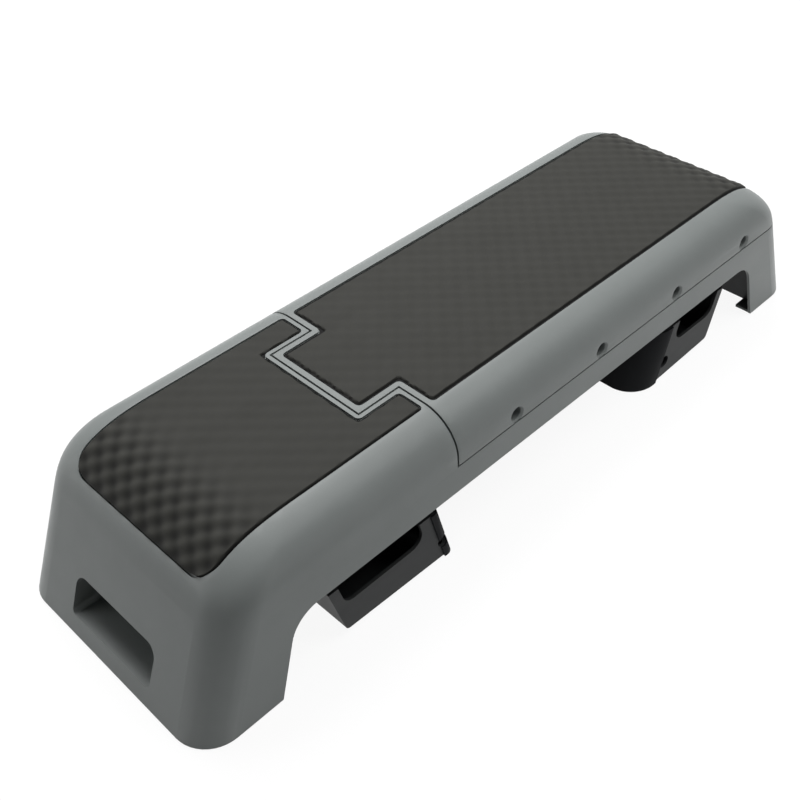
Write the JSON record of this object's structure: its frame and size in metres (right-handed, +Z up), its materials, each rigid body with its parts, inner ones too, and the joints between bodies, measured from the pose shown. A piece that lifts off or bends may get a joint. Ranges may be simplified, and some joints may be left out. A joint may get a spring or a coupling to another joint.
{
  "type": "aerobic step platform",
  "caption": "Long hollow fitness step with studded rubber mats, a backrest half that tilts up over a storage tray, and legs that swing out under the feet to raise it.",
  "frame": {"origin": "on the floor under the middle of the deck", "axes": "+X along the deck from the seat end to the backrest end, +Y across it, +Z up"},
  "size_m": [1.0984, 0.3318, 0.2008],
  "materials": {
    "grey_plastic": "fine moulded grain, satin",
    "black_plastic": "moulded, satin",
    "mat_rubber": "moulded domes, matt",
    "pad_rubber": "matt",
    "steel": "zinc plated",
    "nylon": "natural, satin"
  },
  "bodies": {
    "base": {"base_shell": "grey_plastic", "storage_tray": "black_plastic", "tray_screws": "steel", "backrest_bumpers": "pad_rubber", "seat_mat": "mat_rubber", "hinge_pin": "steel", "left_prop_rack": "black_plastic", "right_prop_rack": "black_plastic", "near_leg_brackets": "black_plastic", "near_leg_pin": "steel", "far_leg_brackets": "black_plastic", "far_leg_pin": "steel", "near_foot_pad": "pad_rubber", "far_foot_pad": "pad_rubber"},
    "backrest": {"backrest_shell": "grey_plastic", "backrest_mat": "mat_rubber", "backrest_liner": "black_plastic", "backrest_screws": "steel", "hinge_bushes": "nylon", "prop_brackets": "black_plastic", "prop_pin": "steel"},
    "prop": {"prop_frame": "steel", "prop_sleeve": "pad_rubber"},
    "near_leg": {"near_leg": "black_plastic", "near_leg_bushes": "nylon", "near_leg_sole_cap": "pad_rubber"},
    "far_leg": {"far_leg": "black_plastic", "far_leg_bushes": "nylon", "far_leg_sole_cap": "pad_rubber"}
  },
  "joints": [
    {"name": "backrest_tilt", "type": "hinge", "parent": "base", "child": "backrest", "pos_m": [-0.20925, 0, 0.1895], "axis": [0, -1, 0], "range_deg": [0, 60]},
    {"name": "prop_swing", "type": "hinge", "parent": "backrest", "child": "prop", "pos_m": [0.03725, 0, 0.16], "axis": [0, 1, 0], "range_deg": [0, 129]},
    {"name": "near_leg_fold", "type": "hinge", "parent": "base", "child": "near_leg", "pos_m": [-0.447, 0, 0.08], "axis": [0, 1, 0], "range_deg": [0, 105.5]},
    {"name": "far_leg_fold", "type": "hinge", "parent": "base", "child": "far_leg", "pos_m": [0.447, 0, 0.08], "axis": [0, -1, 0], "range_deg": [0, 105.5]}
  ],
  "couplings": [
    {"joint": "prop_swing", "follows": "backrest_tilt", "ratio": 2.15}
  ]
}
